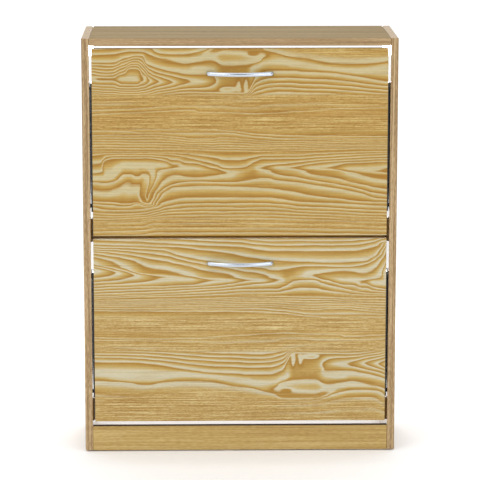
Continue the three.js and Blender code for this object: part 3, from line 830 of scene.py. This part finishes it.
def turned_mesh(name, profile, arms=None):
    """A mesh turned about Z. arms = (reach, half width, depth) cuts a cross recess in its face."""
    shape = bmesh.new()
    rings = []
    for radius, height in profile:
        count = 1 if radius == 0 else TURNED_SIDES
        ring = []
        for side in range(count):
            angle = 2 * math.pi * side / TURNED_SIDES
            place = (radius * math.cos(angle) * MM, radius * math.sin(angle) * MM, height * MM)
            ring.append(shape.verts.new(place))
        rings.append(ring)
    for first, second in zip(rings, rings[1:]):
        for side in range(TURNED_SIDES):
            after = (side + 1) % TURNED_SIDES
            corners = [first[side % len(first)], first[after % len(first)]]
            corners += [second[after % len(second)], second[side % len(second)]]
            shape.faces.new(list(dict.fromkeys(corners)))
    bmesh.ops.recalc_face_normals(shape, faces=shape.faces)
    mesh = bpy.data.meshes.new(name)
    shape.to_mesh(mesh)
    shape.free()
    if arms:
        mesh = recessed(mesh, arms)
    for polygon in mesh.polygons:
        polygon.use_smooth = True
    return mesh


def recessed(mesh, arms):
    """The mesh with a tapered cross sunk into its face."""
    reach, half, depth = (value * MM for value in arms)
    top = max(v.co.z for v in mesh.vertices) + CUT_CLEAR
    bottom = top - depth - CUT_CLEAR
    outline = [
        (reach, -half), (reach, half), (half, half), (half, reach), (-half, reach), (-half, half),
        (-reach, half), (-reach, -half), (-half, -half), (-half, -reach), (half, -reach),
        (half, -half),
    ]
    shape = bmesh.new()
    upper = [shape.verts.new((x, y, top)) for x, y in outline]
    lower = [shape.verts.new((RECESS_TAPER * x, RECESS_TAPER * y, bottom)) for x, y in outline]
    shape.faces.new(upper)
    shape.faces.new(lower[::-1])
    for index in range(len(outline)):
        after = (index + 1) % len(outline)
        shape.faces.new((upper[index], lower[index], lower[after], upper[after]))
    bmesh.ops.recalc_face_normals(shape, faces=shape.faces)
    cutter_mesh = bpy.data.meshes.new("cross")
    shape.to_mesh(cutter_mesh)
    shape.free()
    body = bpy.data.objects.new("body", mesh)
    cutter = bpy.data.objects.new("cross", cutter_mesh)
    for item in (body, cutter):
        bpy.context.scene.collection.objects.link(item)
    cut = body.modifiers.new("cross", "BOOLEAN")
    cut.operation = "DIFFERENCE"
    cut.solver = "EXACT"
    cut.object = cutter
    bpy.context.view_layer.update()
    evaluated = body.evaluated_get(bpy.context.evaluated_depsgraph_get())
    made = bpy.data.meshes.new_from_object(evaluated)
    made.name = mesh.name
    bpy.data.objects.remove(body)
    bpy.data.objects.remove(cutter)
    return made


def screw_profile(shank, length, head, tall):
    """A pan-head screw, the head's underside at 0, with turns of thread as grooves."""
    height = -length + SCREW_POINT
    profile = [(0, -length), (0.35 * shank, -length + 0.5), (shank, height)]
    while height + THREAD_PITCH < -SCREW_NECK:
        profile.append((THREAD_ROOT * shank, height + THREAD_PITCH / 2))
        height += THREAD_PITCH
        profile.append((shank, height))
    profile += [(shank, 0), (head - 0.15, 0), (head, 0.15), (head, 0.45 * tall)]
    profile += [(0.86 * head, 0.74 * tall), (0.6 * head, 0.93 * tall), (0.3 * head, tall), (0, tall)]
    return profile


CAM_TALL = 12.5
TURNED = {
    "cam": ([
        (0, -CAM_TALL), (7.1, -CAM_TALL), (7.5, -CAM_TALL + 0.4), (7.5, -0.5), (7.35, -0.15),
        (7.0, 0), (5.9, 0), (5.8, -0.25), (5.5, -0.25), (5.4, 0), (0, 0),
    ], (4.2, 0.75, 2.4)),
    "handle_screw": (screw_profile(1.8, 20.5, 4, 2.4), (2.1, 0.45, 1.3)),
    "bracket_screw": (screw_profile(1.6, 12.5, 3.5, 2.1), (1.8, 0.42, 1.1)),
    "wall_screw": (screw_profile(1.6, 12, 3.5, 2.1), (1.8, 0.42, 1.1)),
    "pivot_pin": ([
        (0, -23.2), (3.6, -23.2), (4, -22.8), (4, -11.2), (7.4, -11.2), (7.5, -11.1),
        (7.5, -10.6), (7.4, -10.4), (4, -10.4), (4, -0.9), (3.8, -0.4), (3.0, 0), (0, 0),
    ], None),
    "stop_screw": ([
        (0, -18.4), (2.5, -16.9), (2.5, -6.7), (3, -6.5), (3, -2.5), (5.3, -2.5), (5.5, -2.3),
        (5.5, -0.9), (5.3, -0.4), (4.5, -0.05), (4.2, 0), (0, 0),
    ], (2.6, 0.55, 1.2)),
    "glide": ([
        (0, -13.7), (1, -12), (1, -2), (6.8, -2), (7, -1.8), (7, -0.9), (6.8, -0.4),
        (6.2, -0.05), (5.8, 0), (0, 0),
    ], None),
}
turned_meshes = {key: turned_mesh(key, *value) for key, value in TURNED.items()}

# Where a turned piece's face points: its axis, its sign, and the turn that brings +Z there
FACES = {
    "rear": (1, 1, Matrix.Rotation(math.radians(-90), 4, "X")),
    "down": (2, -1, Matrix.Rotation(math.radians(180), 4, "X")),
    "left": (0, -1, Matrix.Rotation(math.radians(-90), 4, "Y")),
    "right": (0, 1, Matrix.Rotation(math.radians(90), 4, "Y")),
}


def turned_piece(node, kind, facing):
    """Puts a turned mesh where a CAD fastener is, its face flush with that node's face."""
    low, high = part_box(node)
    axis, sign, turn = FACES[facing]
    place = (low + high) / 2
    place[axis] = high[axis] if sign > 0 else low[axis]
    mesh = turned_meshes[kind]
    tall = max(v.co.z for v in mesh.vertices)
    place[axis] -= sign * tall
    finish_piece(f"{node}_finished", mesh, node, [SLOT_OF[node]], Matrix.Translation(place) @ turn)


for side, sign in SIDES.items():
    inward = "right" if sign < 0 else "left"
    for board in ("plinth", "lower_rail", "middle_rail"):
        turned_piece(f"{board}_cam_{side}", "cam", "rear")
    for end in ("front", "rear"):
        turned_piece(f"top_cam_{end}_{side}", "cam", "down")
        turned_piece(f"glide_{end}_{side}", "glide", "down")
    turned_piece(f"wall_bracket_screw_{side}", "wall_screw", "down")
    for tier in TIERS:
        turned_piece(f"{tier}_pivot_pin_{side}", "pivot_pin", inward)
        turned_piece(f"{tier}_stop_screw_{side}", "stop_screw", inward)
        turned_piece(f"{tier}_handle_screw_{side}", "handle_screw", "rear")
        for height in ("low", "high"):
            turned_piece(f"{tier}_bracket_screw_{height}_{side}", "bracket_screw", "rear")


# ---- Stage, light and camera ----

FLOOR_RADIUS = 30.0


def studio_floor():
    """A pale disc that reaches past every view."""
    shape = bmesh.new()
    bmesh.ops.create_circle(shape, cap_ends=True, segments=96, radius=FLOOR_RADIUS)
    mesh = bpy.data.meshes.new("floor")
    shape.to_mesh(mesh)
    shape.free()
    made, graph, shader = new_material("pale_floor", Roughness=0.7, Specular_IOR_Level=0.2)
    tone = graph.noise(graph.node("ShaderNodeTexCoord").outputs["Object"], 0.8, 3.0)
    stops = [(0.3, (251, 251, 251)), (0.7, (255, 255, 255))]
    graph.feed(shader.inputs["Base Color"], graph.ramp(tone, stops))
    mesh.materials.append(made)
    floor = bpy.data.objects.new("floor", mesh)
    floor.location.z = cad_box[0].z
    bpy.context.scene.collection.objects.link(floor)


# Darker parts of the room: (direction, cosines of its outer and inner edge, shade)
DARK_CORNERS = [
    ((0, -1, 0.05), 0.9, 0.985, (70, 74, 80)),
    ((0.95, -0.3, 0.1), 0.86, 0.95, (140, 152, 180)),
]
WHITE_ROOM = 1.2


def studio_world():
    """A white room that is darker behind the camera and at its right."""
    world = bpy.data.worlds.new("studio")
    world.use_nodes = True
    graph = Graph(world.node_tree)
    ahead = graph.node("ShaderNodeTexCoord").outputs["Generated"]
    colour = (1, 1, 1, 1)
    for direction, outer, inner, shade in DARK_CORNERS:
        near = graph.vector("DOT_PRODUCT", ahead, Vector(direction).normalized())
        colour = graph.mix(graph.span(near, outer, inner), colour, linear(*shade))
    background = world.node_tree.nodes["Background"]
    graph.feed(background.inputs["Color"], colour)
    background.inputs["Strength"].default_value = WHITE_ROOM
    bpy.context.scene.world = world


CENTRE = (cad_box[0] + cad_box[1]) / 2
# Lamps, as (name, place, aim, size, watts)
LAMPS = [
    ("key", (-2.2, -3.2, 2.2), CENTRE, (1.6, 1.6), 15),
    ("fill", (2.6, -2.8, 0.9), CENTRE, (1.6, 1.6), 8),
    ("rear", (0, 1.5, 0.75), (0, 0.1, 0), (0.6, 0.3), 8),
]


def softbox(name, place, aim, size, watts):
    """A rectangular lamp that faces its aim. The camera doesn't see it."""
    light = bpy.data.lights.new(name, "AREA")
    light.shape = "RECTANGLE"
    light.size, light.size_y = size
    light.energy = watts
    lamp = bpy.data.objects.new(name, light)
    lamp.visible_camera = False
    lamp.location = place
    lamp.rotation_euler = (Vector(place) - Vector(aim)).to_track_quat("Z", "Y").to_euler()
    bpy.context.scene.collection.objects.link(lamp)


VIEW_DISTANCE = 5.0     # in front of the doors
VIEW_HEIGHT = 1.388
VIEW_LEFT = 0.09        # of the middle
VIEW_LENS = 189.8       # mm
VIEW_SENSOR = 36        # mm
VIEW_AIM = Vector((0.0018, 0, 0.418))


def studio_camera():
    """The camera, looking a little down at the doors."""
    data = bpy.data.cameras.new("camera")
    data.lens = VIEW_LENS
    data.sensor_width = VIEW_SENSOR
    data.clip_end = 100
    camera = bpy.data.objects.new("camera", data)
    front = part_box("upper_door")[0].y
    camera.location = (-VIEW_LEFT, front - VIEW_DISTANCE, VIEW_HEIGHT)
    camera.rotation_euler = (camera.location - VIEW_AIM).to_track_quat("Z", "Y").to_euler()
    bpy.context.scene.collection.objects.link(camera)
    bpy.context.scene.camera = camera


studio_floor()
studio_world()
for lamp in LAMPS:
    softbox(*lamp)
studio_camera()
bpy.context.scene.view_settings.view_transform = "Standard"
